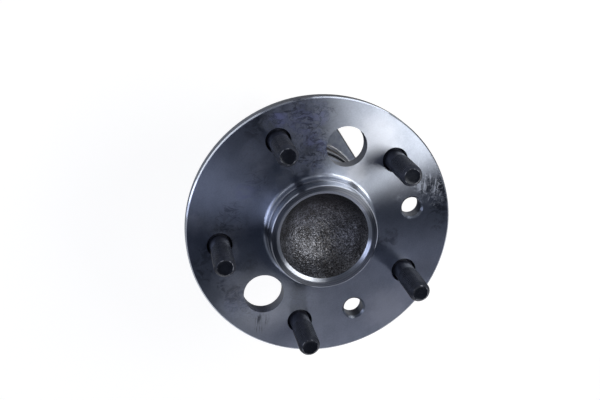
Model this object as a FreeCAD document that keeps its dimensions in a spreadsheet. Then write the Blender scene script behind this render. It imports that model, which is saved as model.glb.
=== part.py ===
# Wheel hub bearing for a wheel that is not driven: a turning hub spindle with five wheel studs,
# carried by two rows of balls in a fixed outer ring whose flange bolts to the carrier.
# The origin is the middle of the carrier face, and +Z points outboard, towards the wheel.
# Lengths are in millimetres and angles in degrees.
import FreeCAD, Part
import os
import re

import Sketcher

Vector = FreeCAD.Vector
doc = FreeCAD.newDocument("wheel_hub_bearing")


# Driving dimensions: name, size and meaning, which become the rows of the sheet
SIZES = {
    "wheel_face_height": (71.0, "carrier face to wheel face"),
    "wheel_flange_dia": (151.2, "wheel flange"),
    "wheel_flange_thick": (9.0, "wheel flange"),
    "wheel_flange_chamfer": (0.8, "front edge of the wheel flange"),
    "wheel_flange_round": (2.0, "back edge of the wheel flange"),
    "stud_circle_dia": (114.3, "circle through the wheel studs"),
    "stud_count": (5, "wheel studs"),
    "stud_first_angle": (10.3, "first wheel stud from +X"),
    "stud_hole_dia": (14.4, "hole that the stud's serrations grip"),
    "tool_circle_radius": (49.5, "axis to the access holes and to the carrier bolts"),
    "access_hole_dia": (23.0, "two holes that a socket passes"),
    "access_angle_one": (40.9, "first access hole from +X"),
    "access_angle_two": (197.1, "second access hole from +X"),
    "small_circle_radius": (54.0, "axis to the two small holes"),
    "small_hole_dia": (11.4, "two small through holes"),
    "small_hole_chamfer": (1.1, "front edge of the small holes"),
    "small_angle_one": (338.7, "first small hole from +X"),
    "small_angle_two": (260.2, "second small hole from +X"),
    "wheel_pilot_dia": (60.0, "centres the wheel"),
    "brake_pilot_dia": (62.0, "centres the brake disc or drum"),
    "brake_pilot_length": (6.0, "wheel face to the step"),
    "pilot_length": (13.5, "wheel face to the pilot's end"),
    "pilot_chamfer": (0.5, "outer edges of both pilots"),
    "pilot_root_round": (2.2, "root of the brake pilot"),
    "cup_mouth_dia": (49.8, "forged cup inside the pilot"),
    "cup_chamfer_width": (1.9, "turned edge round the cup"),
    "cup_chamfer_depth": (1.4, "turned edge round the cup"),
    "cup_depth": (19.0, "pilot's end to the cup's floor"),
    "cup_floor_dia": (38.4, "where the sloping wall would meet the floor"),
    "cup_floor_round": (23.0, "blend of wall and floor"),
    "cup_straight": (0.5, "least straight wall or flat floor beside the blend"),
    "neck_dia": (62.0, "neck between wheel flange and bearing"),
    "neck_root_round": (5.0, "neck to wheel flange"),
    "root_dia": (68.6, "shoulder that covers the seal"),
    "root_thick": (4.5, "shoulder that covers the seal"),
    "root_slope": (5.0, "height of the cone from shoulder to neck"),
    "root_gap": (0.9, "shoulder to the outer ring's end"),
    "land_dia": (48.4, "land of both rows' high shoulders"),
    "low_land_dia": (41.2, "land between the rows"),
    "seat_dia": (29.0, "seat of the inner ring"),
    "seat_face_height": (2.0, "face that the inner ring stops against"),
    "thread_dia": (24.0, "threaded end of the spindle"),
    "thread_relief": (1.5, "inner ring's end to the end of its seat"),
    "spindle_end": (-32.0, "inboard end of the spindle"),
    "spindle_chamfer": (1.2, "inboard edge of the spindle"),
    "centre_dia": (7.0, "60 degree lathe centre in the spindle's inboard end"),
    "stake_slot_width": (4.0, "slot for the nut's stake"),
    "stake_slot_depth": (2.0, "slot for the nut's stake"),
    "stake_slot_length": (7.0, "slot for the nut's stake"),
    "ball_dia": (11.1, "balls of both rows"),
    "ball_count": (12, "balls in each row"),
    "ball_gap": (0.25, "ball to raceway and to cage pocket"),
    "ball_circle_dia": (51.0, "circle through the balls"),
    "outboard_row": (15.5, "height of the outboard row"),
    "inboard_row": (-11.5, "height of the inboard row"),
    "ring_body_dia": (71.0, "outer ring outboard of its flange"),
    "ring_end": (29.5, "outboard end of the outer ring"),
    "ring_low_dia": (60.8, "bore outside the rows"),
    "ring_high_dia": (54.0, "bore between the rows"),
    "ring_edge_chamfer": (0.6, "outboard edge of the outer ring"),
    "ring_root_round": (2.0, "outer ring to its flange"),
    "spigot_dia": (70.0, "centres the unit in the carrier"),
    "spigot_length": (25.0, "carrier face to the spigot's end"),
    "spigot_chamfer": (1.5, "leading edge of the spigot"),
    "relief_width": (2.0, "undercut between spigot and carrier face"),
    "relief_depth": (0.5, "undercut into the spigot"),
    "relief_reach": (0.4, "undercut beyond the spigot"),
    "relief_rise": (0.3, "undercut into the carrier face"),
    "carrier_flange_thick": (12.0, "flange that bolts to the carrier"),
    "carrier_bolt_spacing": (62.0, "carrier bolts along X"),
    "carrier_hole_dia": (11.0, "carrier bolt holes"),
    "carrier_margin": (10.5, "bolt hole to the flange's edges"),
    "carrier_flange_chamfer": (0.8, "both edges of the carrier flange"),
    "waist_radius": (42.5, "hollow of the carrier flange's short sides"),
    "waist_depth": (5.0, "hollow of the carrier flange's short sides"),
    "waist_round": (6.0, "waist to the bolt corners"),
    "seal_seat_dia": (62.4, "counterbore for the seal case"),
    "seal_seat_depth": (5.5, "counterbore for the seal case"),
    "seal_case_gap": (0.2, "seal case to the counterbore's floor"),
    "seal_sheet": (0.8, "sheet of the seal case"),
    "seal_inner_dia": (52.8, "hole of the seal case"),
    "seal_case_height": (4.8, "seal case"),
    "lip_thick": (0.6, "rubber lips"),
    "lip_gap": (0.3, "lips to the spindle"),
    "face_lip_offset": (2.4, "case's hole to the root of the lip on the shoulder"),
    "radial_lip_height": (2.0, "rubber to the tip of the lip on the land"),
    "grease_lip_drop": (0.8, "case to the tip of the inner lip"),
    "rubber_thick": (1.0, "rubber on the seal case"),
    "cap_seat_dia": (62.0, "counterbore for the dust cap"),
    "cap_seat_depth": (6.0, "counterbore for the dust cap"),
    "cap_seat_gap": (0.4, "dust cap's rim to the counterbore's floor"),
    "cap_sheet": (1.0, "sheet of the dust cap"),
    "cap_dia": (67.2, "dust cap outside the ring"),
    "cap_end": (-36.0, "inboard end of the dust cap"),
    "cap_corner": (3.0, "drawn corner of the dust cap, outside"),
    "cap_dish_dia": (38.0, "dish in the dust cap's end"),
    "cap_dish_depth": (1.2, "dish in the dust cap's end"),
    "ring_width_edge": (0.8, "edges of the inner ring's ends"),
    "inner_ring_end": (-21.0, "inboard end of the inner ring"),
    "nut_washer_dia": (35.0, "washer face of the spindle nut"),
    "nut_washer_thick": (2.5, "washer face of the spindle nut"),
    "nut_hex_width": (30.0, "spindle nut across its flats"),
    "nut_hex_thick": (5.0, "hexagon of the spindle nut"),
    "nut_bevel_angle": (30.0, "bevel of the hexagon's corners"),
    "nut_collar_dia": (27.0, "collar that is staked"),
    "nut_collar_thick": (2.0, "collar that is staked"),
    "stake_width": (3.6, "dent of the collar in the slot"),
    "stake_depth": (1.6, "dent of the collar in the slot"),
    "stake_skin": (0.4, "collar's outside to the dent's tool mark"),
    "cage_gap": (0.5, "cage to the lands of the inboard parts"),
    "cage_wall": (3.7, "wall of the cage"),
    "cage_lip": (3.6, "row to the open side of the cage"),
    "cage_bridge": (1.2, "pocket to the closed side of the cage"),
    "stud_thread_dia": (12.0, "wheel stud"),
    "stud_tip_dia": (8.4, "flat end of the wheel stud"),
    "stud_tip_length": (1.7, "slanted end of the wheel stud"),
    "stud_reach": (33.1, "wheel face to the stud's end"),
    "stud_head_dia": (18.0, "head behind the flange"),
    "stud_head_thick": (4.0, "head behind the flange"),
    "stud_head_chamfer": (0.8, "edge of the head"),
    "stud_grip_length": (6.5, "serrated length of the stud"),
    "stud_grip_slope": (0.8, "slanted end of the serrations"),
    "overcut": (1.0, "how far a cut starts or ends outside the metal"),
}


# Sizes that follow from the driving ones
DERIVED = {
    "wheel_flange_back": "wheel_face_height - wheel_flange_thick",
    "pilot_step": "wheel_face_height + brake_pilot_length",
    "pilot_end": "wheel_face_height + pilot_length",
    "cup_floor": "pilot_end - cup_depth",
    "cup_wall_run": "(cup_mouth_dia - cup_floor_dia) / 2",
    "cup_wall_rise": "cup_depth - cup_chamfer_depth",
    "cup_wall_length": "sqrt(cup_wall_run ^ 2 + cup_wall_rise ^ 2)",
    "cup_blend_reach": "min(cup_wall_length; cup_floor_dia / 2) - cup_straight",
    "cup_blend_limit": "cup_blend_reach * (cup_wall_length + cup_wall_run) / cup_wall_rise",
    "root_face": "ring_end + root_gap",
    "root_top": "root_face + root_thick",
    "groove_radius": "ball_dia / 2 + ball_gap",
    "seal_seat_floor": "ring_end - seal_seat_depth",
    "seal_case_floor": "seal_seat_floor + seal_case_gap",
    "cap_seat_floor": "cap_seat_depth - spigot_length",
    "carrier_bolt_x": "carrier_bolt_spacing / 2",
    "carrier_bolt_y": "sqrt(tool_circle_radius ^ 2 - carrier_bolt_x ^ 2)",
    "carrier_half_x": "carrier_bolt_x + carrier_margin",
    "carrier_half_y": "carrier_bolt_y + carrier_margin",
    "nut_hex_face": "inner_ring_end - nut_washer_thick",
    "nut_collar_face": "nut_hex_face - nut_hex_thick",
    "nut_end": "nut_collar_face - nut_collar_thick",
    "cage_bore": "land_dia / 2 + cage_gap",
    "cage_rim": "cage_bore + cage_wall",
    "stud_length": "wheel_flange_thick + stud_reach",
}

sheet = doc.addObject("Spreadsheet::Sheet", "Sizes")
for row, (name, (size, meaning)) in enumerate(SIZES.items(), start=1):
    sheet.set("A%d" % row, name)
    sheet.set("B%d" % row, str(size))
    sheet.setAlias("B%d" % row, name)
    sheet.set("C%d" % row, meaning)
doc.recompute()


def formula(text):
    """Spell a formula over the named sizes the way the sheet's readers need it."""
    def spell(word):
        name = word.group()
        if name in DERIVED:
            return "(" + formula(DERIVED[name]) + ")"
        if name in SIZES:
            return "Sizes." + name
        return name
    return re.sub(r"[a-z_]+", spell, text)


def value(text):
    """The number that a formula over the named sizes gives."""
    result = sheet.evalExpression(formula(text))
    return float(getattr(result, "Value", result))


# Sketches that follow the sheet

def tie_point(sketch, edge, end, across, up):
    """Tie one point of a sketch to its two formulas; "0" puts it on the axis."""
    for kind, text, axis in (("DistanceX", across, -2), ("DistanceY", up, -1)):
        if text == "0":
            sketch.addConstraint(Sketcher.Constraint("PointOnObject", edge, end, axis))
        else:
            spot = sketch.addConstraint(Sketcher.Constraint(kind, -1, 1, edge, end, value(text)))
            sketch.setExpression("Constraints[%d]" % spot, formula(text))


def draw_outline(sketch, corners):
    """Draw a closed outline of straight edges through corners given as formulas."""
    count = len(corners)
    spots = [Vector(value(across), value(up), 0) for across, up in corners]
    for index in range(count):
        sketch.addGeometry(Part.LineSegment(spots[index], spots[(index + 1) % count]))
    for index in range(count):
        sketch.addConstraint(Sketcher.Constraint("Coincident", index, 2, (index + 1) % count, 1))
    for index, (across, up) in enumerate(corners):
        tie_point(sketch, index, 1, across, up)


def draw_circle(sketch, across, up, radius):
    """Draw a circle whose centre and radius are formulas."""
    centre = Vector(value(across), value(up), 0)
    edge = sketch.addGeometry(Part.Circle(centre, Vector(0, 0, 1), value(radius)))
    tie_point(sketch, edge, 3, across, up)
    spot = sketch.addConstraint(Sketcher.Constraint("Radius", edge, value(radius)))
    sketch.setExpression("Constraints[%d]" % spot, formula(radius))


def origin_part(body, role):
    """One of the body's own origin planes or axes."""
    return next(part for part in body.Origin.OriginFeatures if part.Role == role)


def new_sketch(body, name, role, level="0"):
    """Start a sketch on one of the body's origin planes, raised to a level."""
    sketch = body.newObject("Sketcher::SketchObject", name)
    sketch.AttachmentSupport = (origin_part(body, role), [""])
    sketch.MapMode = "FlatFace"
    if level != "0":
        sketch.setExpression("AttachmentOffset.Base.z", formula(level))
    return sketch


# Features that follow the sheet

def new_body(label):
    """Start a sub-part under its own label."""
    body = doc.addObject("PartDesign::Body", label)
    body.Label = label
    return body


def turned(body, name, corners, kind="Revolution"):
    """Turn an outline of radius and height about the body's Z axis, to add or to cut."""
    sketch = new_sketch(body, name + "_outline", "XZ_Plane")
    draw_outline(sketch, corners)
    return spin(body, name, sketch, kind)


def spin(body, name, sketch, kind):
    """Spin a drawn sketch about the body's Z axis."""
    feature = body.newObject("PartDesign::" + kind, name)
    feature.Profile = sketch
    feature.ReferenceAxis = (sketch, ["V_Axis"])
    feature.Angle = 360
    doc.recompute()
    return feature


def ground_raceway(body, name, row):
    """Grind the round groove that one row of balls runs in."""
    sketch = new_sketch(body, name + "_circle", "XZ_Plane")
    draw_circle(sketch, "ball_circle_dia / 2", row, "groove_radius")
    return spin(body, name, sketch, "Groove")


def drilled(body, name, circles, level, depth):
    """Drill round holes, given as across, up and radius, down from a level."""
    sketch = new_sketch(body, name + "_circles", "XY_Plane", level)
    for across, up, radius in circles:
        draw_circle(sketch, across, up, radius)
    pocket = body.newObject("PartDesign::Pocket", name)
    pocket.Profile = sketch
    pocket.Type = "Length"
    pocket.setExpression("Length", formula(depth))
    doc.recompute()
    return pocket


def padded(body, name, corners, level, height):
    """Raise a straight-edged outline from a level to a height above it."""
    sketch = new_sketch(body, name + "_outline", "XY_Plane", level)
    draw_outline(sketch, corners)
    pad = body.newObject("PartDesign::Pad", name)
    pad.Profile = sketch
    pad.setExpression("Length", formula(height))
    doc.recompute()
    return pad


def round_about(body, feature, name, count):
    """Repeat a feature evenly about the body's Z axis."""
    pattern = body.newObject("PartDesign::PolarPattern", name)
    pattern.Originals = [feature]
    pattern.Axis = (origin_part(body, "Z_Axis"), [""])
    pattern.Angle = 360
    pattern.setExpression("Occurrences", formula(count))
    body.Tip = pattern
    doc.recompute()
    return pattern


# Two lengths this close, or an edge this near to its direction, count as the same
CLOSE = 0.001


def ring_edges(body, radius, level):
    """The names of the circular edges of that radius at that height."""
    names = []
    for index, edge in enumerate(body.Tip.Shape.Edges, start=1):
        curve = edge.Curve
        if not isinstance(curve, Part.Circle) or abs(curve.Axis.z) < 1 - CLOSE:
            continue
        if abs(curve.Radius - value(radius)) < CLOSE and abs(curve.Center.z - value(level)) < CLOSE:
            names.append("Edge%d" % index)
    return names


def upright_edges(body, within="carrier_half_x"):
    """The names of the straight edges along Z, as far as a distance to each side of the YZ plane."""
    names = []
    for index, edge in enumerate(body.Tip.Shape.Edges, start=1):
        if not isinstance(edge.Curve, Part.Line) or abs(edge.Curve.Direction.z) < 1 - CLOSE:
            continue
        if abs(edge.CenterOfMass.x) < value(within) + CLOSE:
            names.append("Edge%d" % index)
    return names


def dressed(body, kind, name, size, edges):
    """Round or chamfer edges of the body's last feature."""
    if not edges:
        raise ValueError("no edges for " + name)
    base = body.Tip
    feature = body.newObject("PartDesign::" + kind, name)
    feature.Base = (base, edges)
    feature.setExpression("Radius" if kind == "Fillet" else "Size", formula(size))
    doc.recompute()
    return feature


def polar(radius, angle):
    """Formulas for the point at a radius and an angle from +X."""
    return ("%s * cos((%s) * 1deg)" % (radius, angle), "%s * sin((%s) * 1deg)" % (radius, angle))


# Hub spindle: forged and turned, with the wheel flange, both pilots, the cup, the neck,
# the shoulder over the seal, the outboard raceway, the seat and the threaded end

def hub_spindle():
    body = new_body("hub_spindle")
    turned(body, "forging", [
        ("0", "spindle_end"),
        ("thread_dia / 2", "spindle_end"),
        ("thread_dia / 2", "inner_ring_end + thread_relief"),
        ("seat_dia / 2", "inner_ring_end + thread_relief"),
        ("seat_dia / 2", "seat_face_height"),
        ("low_land_dia / 2", "seat_face_height"),
        ("low_land_dia / 2", "outboard_row"),
        ("land_dia / 2", "outboard_row"),
        ("land_dia / 2", "root_face"),
        ("root_dia / 2", "root_face"),
        ("root_dia / 2", "root_top"),
        ("neck_dia / 2", "root_top + root_slope"),
        ("neck_dia / 2", "wheel_flange_back"),
        ("wheel_flange_dia / 2", "wheel_flange_back"),
        ("wheel_flange_dia / 2", "wheel_face_height"),
        ("brake_pilot_dia / 2", "wheel_face_height"),
        ("brake_pilot_dia / 2", "pilot_step"),
        ("wheel_pilot_dia / 2", "pilot_step"),
        ("wheel_pilot_dia / 2", "pilot_end"),
        ("0", "pilot_end"),
    ])
    dressed(body, "Fillet", "neck_root", "neck_root_round",
            ring_edges(body, "neck_dia / 2", "wheel_flange_back"))
    dressed(body, "Fillet", "flange_back_edge", "wheel_flange_round",
            ring_edges(body, "wheel_flange_dia / 2", "wheel_flange_back"))
    dressed(body, "Chamfer", "flange_front_edge", "wheel_flange_chamfer",
            ring_edges(body, "wheel_flange_dia / 2", "wheel_face_height"))
    dressed(body, "Fillet", "pilot_root", "pilot_root_round",
            ring_edges(body, "brake_pilot_dia / 2", "wheel_face_height"))
    dressed(body, "Chamfer", "pilot_edges", "pilot_chamfer",
            ring_edges(body, "brake_pilot_dia / 2", "pilot_step")
            + ring_edges(body, "wheel_pilot_dia / 2", "pilot_end"))
    dressed(body, "Chamfer", "spindle_edge", "spindle_chamfer",
            ring_edges(body, "thread_dia / 2", "spindle_end"))
    turned(body, "cup", [
        ("0", "cup_floor"),
        ("cup_floor_dia / 2", "cup_floor"),
        ("cup_mouth_dia / 2", "pilot_end - cup_chamfer_depth"),
        ("cup_mouth_dia / 2 + cup_chamfer_width", "pilot_end"),
        ("cup_mouth_dia / 2 + cup_chamfer_width", "pilot_end + overcut"),
        ("0", "pilot_end + overcut"),
    ], kind="Groove")
    dressed(body, "Fillet", "cup_floor_blend", "min(cup_floor_round; cup_blend_limit)",
            ring_edges(body, "cup_floor_dia / 2", "cup_floor"))
    ground_raceway(body, "outboard_raceway", "outboard_row")

    stud_hole = drilled(body, "stud_hole",
                        [(*polar("stud_circle_dia / 2", "stud_first_angle"), "stud_hole_dia / 2")],
                        "wheel_face_height", "wheel_flange_thick + overcut")
    round_about(body, stud_hole, "stud_holes", "stud_count")
    drilled(body, "access_holes", [
        (*polar("tool_circle_radius", "access_angle_one"), "access_hole_dia / 2"),
        (*polar("tool_circle_radius", "access_angle_two"), "access_hole_dia / 2"),
    ], "wheel_face_height", "wheel_flange_thick + overcut")
    drilled(body, "small_holes", [
        (*polar("small_circle_radius", "small_angle_one"), "small_hole_dia / 2"),
        (*polar("small_circle_radius", "small_angle_two"), "small_hole_dia / 2"),
    ], "wheel_face_height", "wheel_flange_thick + overcut")
    dressed(body, "Chamfer", "small_hole_edges", "small_hole_chamfer",
            ring_edges(body, "small_hole_dia / 2", "wheel_face_height"))

    turned(body, "lathe_centre", [
        ("0", "spindle_end - overcut"),
        ("centre_dia / 2", "spindle_end - overcut"),
        ("centre_dia / 2", "spindle_end"),
        ("0", "spindle_end + centre_dia / 2 / tan(30deg)"),
    ], kind="Groove")
    slot = new_sketch(body, "stake_slot_outline", "XY_Plane", "spindle_end")
    draw_outline(slot, [
        ("thread_dia / 2 - stake_slot_depth", "-stake_slot_width / 2"),
        ("thread_dia / 2 + overcut", "-stake_slot_width / 2"),
        ("thread_dia / 2 + overcut", "stake_slot_width / 2"),
        ("thread_dia / 2 - stake_slot_depth", "stake_slot_width / 2"),
    ])
    pocket = body.newObject("PartDesign::Pocket", "stake_slot")
    pocket.Profile = slot
    pocket.Type = "Length"
    pocket.setExpression("Length", formula("stake_slot_length"))
    pocket.Reversed = True
    doc.recompute()
    return body


# Wheel stud: pressed in from behind until its head meets the flange

def wheel_stud(index):
    body = new_body("wheel_stud_%d" % (index + 1))
    turned(body, "blank", [
        ("0", "-stud_head_thick"),
        ("stud_head_dia / 2 - stud_head_chamfer", "-stud_head_thick"),
        ("stud_head_dia / 2", "stud_head_chamfer - stud_head_thick"),
        ("stud_head_dia / 2", "0"),
        ("stud_hole_dia / 2", "0"),
        ("stud_hole_dia / 2", "stud_grip_length"),
        ("stud_thread_dia / 2", "stud_grip_length + stud_grip_slope"),
        ("stud_thread_dia / 2", "stud_length - stud_tip_length"),
        ("stud_tip_dia / 2", "stud_length"),
        ("0", "stud_length"),
    ])
    angle = "stud_first_angle + 360 * %d / stud_count" % index
    across, up = polar("stud_circle_dia / 2", angle)
    body.setExpression("Placement.Base.x", formula(across))
    body.setExpression("Placement.Base.y", formula(up))
    body.setExpression("Placement.Base.z", formula("wheel_flange_back"))
    return body


# Outer ring: fixed to the carrier by its flange, with both outer raceways, the spigot that
# centres it, and the counterbores for the seal and the dust cap

def outer_ring():
    body = new_body("outer_ring")
    padded(body, "flange_plate", [
        ("-carrier_half_x", "-carrier_half_y"),
        ("carrier_half_x", "-carrier_half_y"),
        ("carrier_half_x", "carrier_half_y"),
        ("-carrier_half_x", "carrier_half_y"),
    ], "0", "carrier_flange_thick")
    dressed(body, "Fillet", "flange_corners", "carrier_margin", upright_edges(body))
    waist_centre = "(carrier_half_y - waist_depth + waist_radius)"
    drilled(body, "waists", [
        ("0", waist_centre, "waist_radius"),
        ("0", "-" + waist_centre, "waist_radius"),
    ], "carrier_flange_thick", "carrier_flange_thick + overcut")
    dressed(body, "Fillet", "waist_ends", "waist_round", upright_edges(body, "waist_radius / 2"))
    rims = [index for index, edge in enumerate(body.Tip.Shape.Edges, start=1)
            if abs(edge.BoundBox.ZLength) < CLOSE]
    dressed(body, "Chamfer", "flange_edges", "carrier_flange_chamfer",
            ["Edge%d" % index for index in rims])
    turned(body, "ring_body", [
        ("0", "-spigot_length"),
        ("spigot_dia / 2", "-spigot_length"),
        ("spigot_dia / 2", "carrier_flange_thick / 2"),
        ("ring_body_dia / 2", "carrier_flange_thick / 2"),
        ("ring_body_dia / 2", "ring_end"),
        ("0", "ring_end"),
    ])
    dressed(body, "Fillet", "ring_root", "ring_root_round",
            ring_edges(body, "ring_body_dia / 2", "carrier_flange_thick"))
    dressed(body, "Chamfer", "ring_edge", "ring_edge_chamfer",
            ring_edges(body, "ring_body_dia / 2", "ring_end"))
    dressed(body, "Chamfer", "spigot_edge", "spigot_chamfer",
            ring_edges(body, "spigot_dia / 2", "-spigot_length"))
    turned(body, "relief", [
        ("spigot_dia / 2 - relief_depth", "-relief_width"),
        ("spigot_dia / 2 + relief_reach", "-relief_width"),
        ("spigot_dia / 2 + relief_reach", "relief_rise"),
        ("spigot_dia / 2 - relief_depth", "relief_rise"),
    ], kind="Groove")
    turned(body, "bore", [
        ("0", "-spigot_length - overcut"),
        ("cap_seat_dia / 2", "-spigot_length - overcut"),
        ("cap_seat_dia / 2", "cap_seat_floor"),
        ("ring_low_dia / 2", "cap_seat_floor"),
        ("ring_low_dia / 2", "inboard_row"),
        ("ring_high_dia / 2", "inboard_row"),
        ("ring_high_dia / 2", "outboard_row"),
        ("ring_low_dia / 2", "outboard_row"),
        ("ring_low_dia / 2", "seal_seat_floor"),
        ("seal_seat_dia / 2", "seal_seat_floor"),
        ("seal_seat_dia / 2", "ring_end + overcut"),
        ("0", "ring_end + overcut"),
    ], kind="Groove")
    ground_raceway(body, "outboard_raceway", "outboard_row")
    ground_raceway(body, "inboard_raceway", "inboard_row")
    drilled(body, "carrier_holes", [
        (side_x + "carrier_bolt_x", side_y + "carrier_bolt_y", "carrier_hole_dia / 2")
        for side_x in ("", "-") for side_y in ("", "-")
    ], "carrier_flange_thick", "carrier_flange_thick + overcut")
    return body


# Inner ring: pressed on the seat, with the inboard raceway

def inner_ring():
    body = new_body("inner_ring")
    turned(body, "ring_blank", [
        ("seat_dia / 2", "inner_ring_end"),
        ("land_dia / 2", "inner_ring_end"),
        ("land_dia / 2", "inboard_row"),
        ("low_land_dia / 2", "inboard_row"),
        ("low_land_dia / 2", "seat_face_height"),
        ("seat_dia / 2", "seat_face_height"),
    ])
    ground_raceway(body, "inboard_raceway", "inboard_row")
    dressed(body, "Chamfer", "ring_ends", "ring_width_edge",
            ring_edges(body, "seat_dia / 2", "inner_ring_end")
            + ring_edges(body, "land_dia / 2", "inner_ring_end"))
    return body


# Balls: one sphere each, evenly round the ball circle

def ball(side, row, index):
    sphere = doc.addObject("Part::Sphere", "%s_ball_%02d" % (side, index + 1))
    sphere.Label = "%s_ball_%02d" % (side, index + 1)
    sphere.setExpression("Radius", formula("ball_dia / 2"))
    across, up = polar("ball_circle_dia / 2", "360 * %d / ball_count" % index)
    sphere.setExpression("Placement.Base.x", formula(across))
    sphere.setExpression("Placement.Base.y", formula(up))
    sphere.setExpression("Placement.Base.z", formula(row))
    return sphere


# Cage: a moulded ring with a round pocket for each ball, open on the side between the rows

def cage(side, row, outward):
    body = new_body(side + "_cage")
    open_end = "%s - %s * cage_lip" % (row, outward)
    closed_end = "%s + %s * (groove_radius + cage_bridge)" % (row, outward)
    turned(body, "ring", [
        ("cage_bore", open_end),
        ("cage_rim", open_end),
        ("cage_rim", closed_end),
        ("cage_bore", closed_end),
    ])
    pocket = body.newObject("PartDesign::SubtractiveSphere", "pocket")
    pocket.setExpression("Radius", formula("groove_radius"))
    pocket.AttachmentSupport = (origin_part(body, "XY_Plane"), [""])
    pocket.MapMode = "FlatFace"
    pocket.setExpression("AttachmentOffset.Base.x", formula("ball_circle_dia / 2"))
    pocket.setExpression("AttachmentOffset.Base.z", formula(row))
    doc.recompute()
    round_about(body, pocket, "pockets", "ball_count")
    return body


# Seal case: a stamped ring pressed into the counterbore at the outboard end

def seal_case():
    body = new_body("seal_case")
    turned(body, "stamping", [
        ("seal_inner_dia / 2", "seal_case_floor"),
        ("seal_seat_dia / 2", "seal_case_floor"),
        ("seal_seat_dia / 2", "seal_case_floor + seal_case_height"),
        ("seal_seat_dia / 2 - seal_sheet", "seal_case_floor + seal_case_height"),
        ("seal_seat_dia / 2 - seal_sheet", "seal_case_floor + seal_sheet"),
        ("seal_inner_dia / 2", "seal_case_floor + seal_sheet"),
    ])
    return body


# Seal lips: rubber bonded round the case's inner edge, with one lip that faces the shoulder
# and two that face the land

def seal_lips():
    body = new_body("seal_lips")
    rubber_floor = "seal_case_floor + seal_sheet"
    rubber_top = "seal_case_floor + seal_sheet + rubber_thick"
    face_lip = "seal_inner_dia / 2 + face_lip_offset"
    lip_tip = "land_dia / 2 + lip_gap"
    inner_tip = "seal_case_floor - grease_lip_drop"
    turned(body, "moulding", [
        ("seal_seat_dia / 2 - seal_sheet", rubber_floor),
        ("seal_seat_dia / 2 - seal_sheet", rubber_top),
        (face_lip, rubber_top),
        (face_lip + " + lip_thick", "root_face - lip_gap"),
        (face_lip, "root_face - lip_gap"),
        (face_lip + " - 2 * lip_thick", rubber_top),
        ("seal_inner_dia / 2", rubber_top),
        (lip_tip + " + lip_thick", rubber_top + " + radial_lip_height"),
        (lip_tip, rubber_top + " + radial_lip_height - lip_thick"),
        ("seal_inner_dia / 2 - rubber_thick", rubber_floor),
        ("seal_inner_dia / 2 - rubber_thick", "seal_case_floor"),
        (lip_tip, inner_tip),
        (lip_tip + " + lip_thick", inner_tip + " - lip_thick / 2"),
        ("seal_inner_dia / 2", "seal_case_floor"),
        ("seal_inner_dia / 2", rubber_floor),
    ])
    return body


# Spindle nut: washer face, hexagon and a thin collar dented into the spindle's slot

def spindle_nut():
    body = new_body("spindle_nut")
    corner = "nut_hex_width / 2 / cos(30deg)"
    padded(body, "hexagon", [polar(corner, "60 * %d" % index) for index in range(6)],
           "nut_collar_face", "nut_hex_thick")
    turned(body, "washer_and_collar", [
        ("0", "nut_end"),
        ("nut_collar_dia / 2", "nut_end"),
        ("nut_collar_dia / 2", "nut_hex_face - nut_hex_thick / 2"),
        ("nut_collar_dia / 2", "nut_hex_face"),
        ("nut_washer_dia / 2", "nut_hex_face"),
        ("nut_washer_dia / 2", "inner_ring_end"),
        ("0", "inner_ring_end"),
    ])
    turned(body, "corner_bevel", [
        ("nut_hex_width / 2", "nut_collar_face"),
        (corner + " + overcut", "nut_collar_face + (" + corner + " + overcut - nut_hex_width / 2)"
         " * tan(nut_bevel_angle * 1deg)"),
        (corner + " + overcut", "nut_collar_face"),
    ], kind="Groove")
    drilled(body, "nut_bore", [("0", "0", "thread_dia / 2")], "inner_ring_end",
            "inner_ring_end - nut_end + overcut")
    padded(body, "stake", [
        ("thread_dia / 2 - stake_depth", "-stake_width / 2"),
        ("nut_collar_dia / 2 - stake_skin", "-stake_width / 2"),
        ("nut_collar_dia / 2 - stake_skin", "stake_width / 2"),
        ("thread_dia / 2 - stake_depth", "stake_width / 2"),
    ], "nut_end", "nut_collar_thick")
    return body


# Dust cap: a deep-drawn cap, necked where it is pressed into the outer ring

def dust_cap():
    body = new_body("dust_cap")
    dish = "cap_dish_dia / 2"
    cap_inside = "cap_dia / 2 - cap_sheet"
    cap_floor = "cap_end + cap_sheet"
    rim = "cap_seat_floor - cap_seat_gap"
    turned(body, "drawn_cap", [
        ("0", "cap_end + cap_dish_depth"),
        (dish + " - cap_dish_depth", "cap_end + cap_dish_depth"),
        (dish, "cap_end"),
        ("cap_dia / 2", "cap_end"),
        ("cap_dia / 2", "-spigot_length"),
        ("cap_seat_dia / 2", "-spigot_length"),
        ("cap_seat_dia / 2", rim),
        ("cap_seat_dia / 2 - cap_sheet", rim),
        ("cap_seat_dia / 2 - cap_sheet", "-spigot_length - cap_sheet"),
        (cap_inside, "-spigot_length - cap_sheet"),
        (cap_inside, cap_floor),
        (dish, cap_floor),
        (dish + " - cap_dish_depth", cap_floor + " + cap_dish_depth"),
        ("0", cap_floor + " + cap_dish_depth"),
    ])
    dressed(body, "Fillet", "outer_corner", "cap_corner",
            ring_edges(body, "cap_dia / 2", "cap_end"))
    dressed(body, "Fillet", "inner_corner", "cap_corner - cap_sheet",
            ring_edges(body, cap_inside, cap_floor))
    return body


# All sub-parts
stud_total = int(value("stud_count"))
ball_total = int(value("ball_count"))
subparts = [hub_spindle()]
subparts += [wheel_stud(index) for index in range(stud_total)]
subparts += [outer_ring(), inner_ring()]
subparts += [cage("outboard", "outboard_row", "1"), cage("inboard", "inboard_row", "-1")]
subparts += [ball("outboard", "outboard_row", index) for index in range(ball_total)]
subparts += [ball("inboard", "inboard_row", index) for index in range(ball_total)]
subparts += [seal_case(), seal_lips(), spindle_nut(), dust_cap()]
doc.recompute()

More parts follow.
